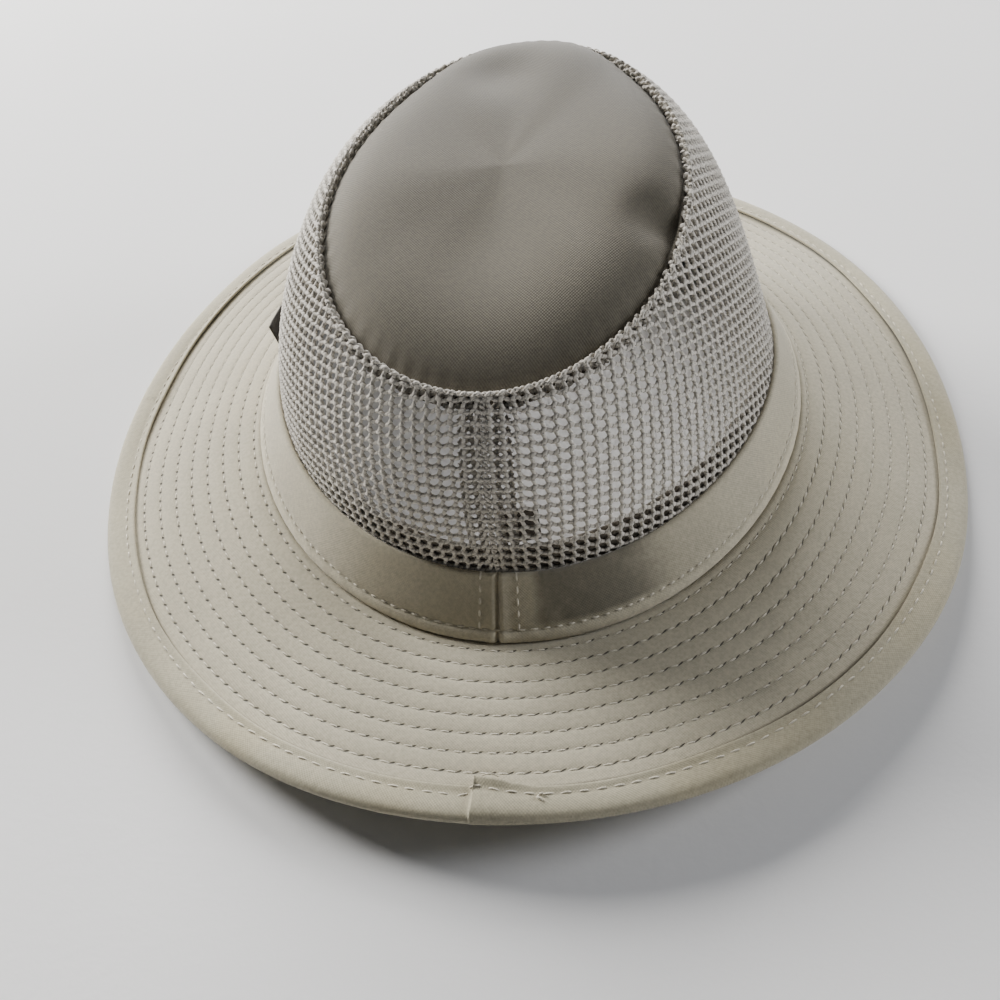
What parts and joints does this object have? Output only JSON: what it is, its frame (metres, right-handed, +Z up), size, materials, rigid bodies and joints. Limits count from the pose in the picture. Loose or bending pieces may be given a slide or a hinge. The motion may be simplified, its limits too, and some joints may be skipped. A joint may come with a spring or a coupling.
{
  "type": "safari hat",
  "caption": "Soft safari hat with a knitted net crown, plain cloth tip, cloth band and a wide stitched brim with a bound edge",
  "frame": {"origin": "middle of the hat's box, on the surface that it rests on", "axes": "+Z up, the front of the hat faces -Y, the wearer's left is +X"},
  "size_m": [0.2806, 0.325, 0.103],
  "materials": {
    "crown_cloth": "woven cotton, matt",
    "net": "knitted net, matt",
    "band_cloth": "woven cotton, matt",
    "brim_cloth": "woven cotton with rows of stitching, matt",
    "binding_tape": "cotton tape, matt",
    "sweatband_cloth": "terry cotton, matt",
    "dark_tab": "woven tape, plain"
  },
  "bodies": {
    "root": {"crown_tip": "crown_cloth", "crown_net": "net", "net_hem": "net", "net_seam": "net", "hat_band": "band_cloth", "brim": "brim_cloth", "brim_binding": "binding_tape", "sweatband": "sweatband_cloth", "inner_label": "dark_tab", "side_tag": "dark_tab"}
  },
  "joints": []
}
